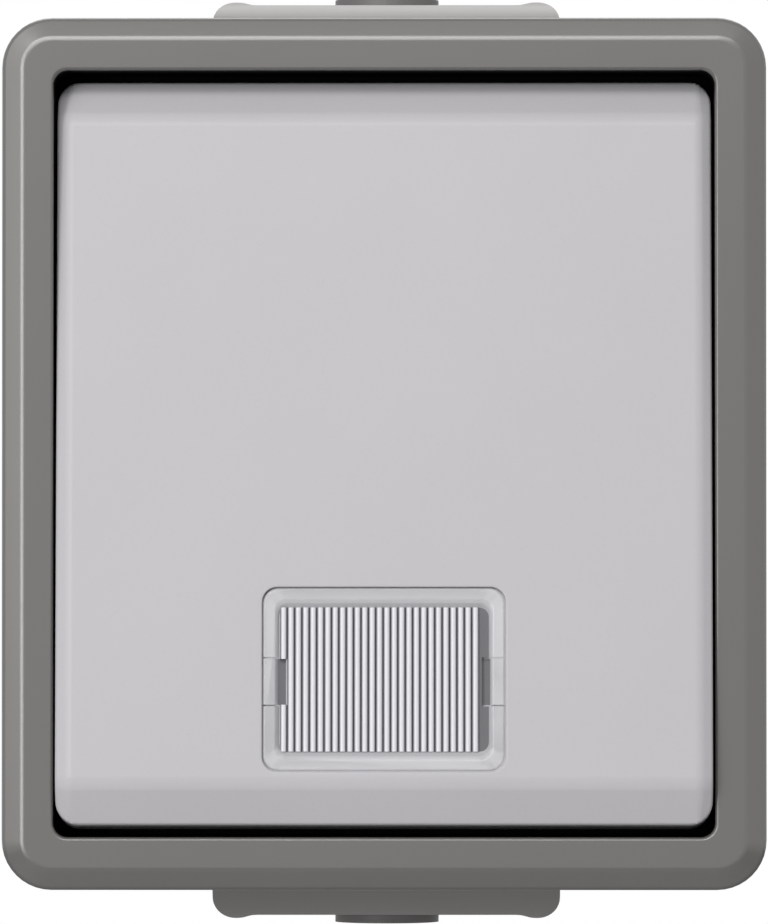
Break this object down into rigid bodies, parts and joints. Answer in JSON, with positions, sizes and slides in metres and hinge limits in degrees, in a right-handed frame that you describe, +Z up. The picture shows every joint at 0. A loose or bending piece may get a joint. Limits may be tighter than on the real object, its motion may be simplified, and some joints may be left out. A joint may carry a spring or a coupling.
{
  "type": "weatherproof rocker switch",
  "caption": "Surface-mounting weatherproof rocker light switch: dark grey box and frame, light grey tilting rocker with a clear ribbed signal window, cable entries above and below.",
  "frame": {"origin": "centre of the box's back, on the wall plane", "axes": "+Z up the wall, the front faces -Y, +X to the right as seen from the front"},
  "size_m": [0.066, 0.0499, 0.0838],
  "materials": {
    "housing_plastic": "semi-gloss dark grey",
    "frame_plastic": "semi-gloss dark grey",
    "rocker_plastic": "gloss light grey",
    "clear_plastic": "clear, ribbed",
    "white_film": "matt white",
    "black_rubber": "matt black",
    "grommet_rubber": "matt grey",
    "socket_plastic": "matt off-white",
    "cradle_plastic": "matt white",
    "holder_plastic": "clear",
    "lamp_glass": "clear",
    "resistor_coat": "lacquered",
    "contact_brass": "bright",
    "contact_silver": "bright",
    "screw_steel": "zinc plated"
  },
  "bodies": {
    "housing": {"base_box": "housing_plastic", "cover_frame": "frame_plastic", "cover_gasket": "black_rubber", "neck_seal": "black_rubber", "upper_grommet": "grommet_rubber", "lower_grommet": "grommet_rubber", "insert_socket": "socket_plastic", "insert_cover": "socket_plastic", "insert_screws": "screw_steel", "frame_screws": "screw_steel", "common_terminal": "contact_brass", "upper_fixed_contact": "contact_brass", "lower_fixed_contact": "contact_brass", "neutral_terminal": "contact_brass", "fixed_rivets": "contact_silver", "terminal_clamps": "screw_steel", "terminal_screws": "screw_steel", "lamp_holder": "holder_plastic", "glow_lamp": "lamp_glass", "lamp_resistor": "resistor_coat", "lamp_pins": "contact_brass"},
    "rocker_body": {"rocker": "rocker_plastic", "window_lens": "clear_plastic", "label_inlay": "white_film", "rocker_cradle": "cradle_plastic"},
    "plunger_body": {"plunger": "cradle_plastic", "plunger_spring": "screw_steel"},
    "seesaw_body": {"contact_seesaw": "contact_brass", "moving_rivets": "contact_silver"}
  },
  "joints": [
    {"name": "rocker_tilt", "type": "hinge", "parent": "housing", "child": "rocker_body", "pos_m": [0, -0.0435, 0], "axis": [1, 0, 0], "range_deg": [0, 8]},
    {"name": "plunger_slide", "type": "slide", "parent": "rocker_body", "child": "plunger_body", "axis": [0, -0.9976, 0.0698], "range_m": [0, 0.0004], "stiffness_N_per_m": 1000, "springref_m": -0.002},
    {"name": "seesaw_tilt", "type": "hinge", "parent": "housing", "child": "seesaw_body", "pos_m": [0, -0.029, 0], "axis": [1, 0, 0], "range_deg": [-13, 0]}
  ],
  "couplings": [
    {"joint": "seesaw_tilt", "follows": "rocker_tilt", "ratio": -1.625}
  ]
}
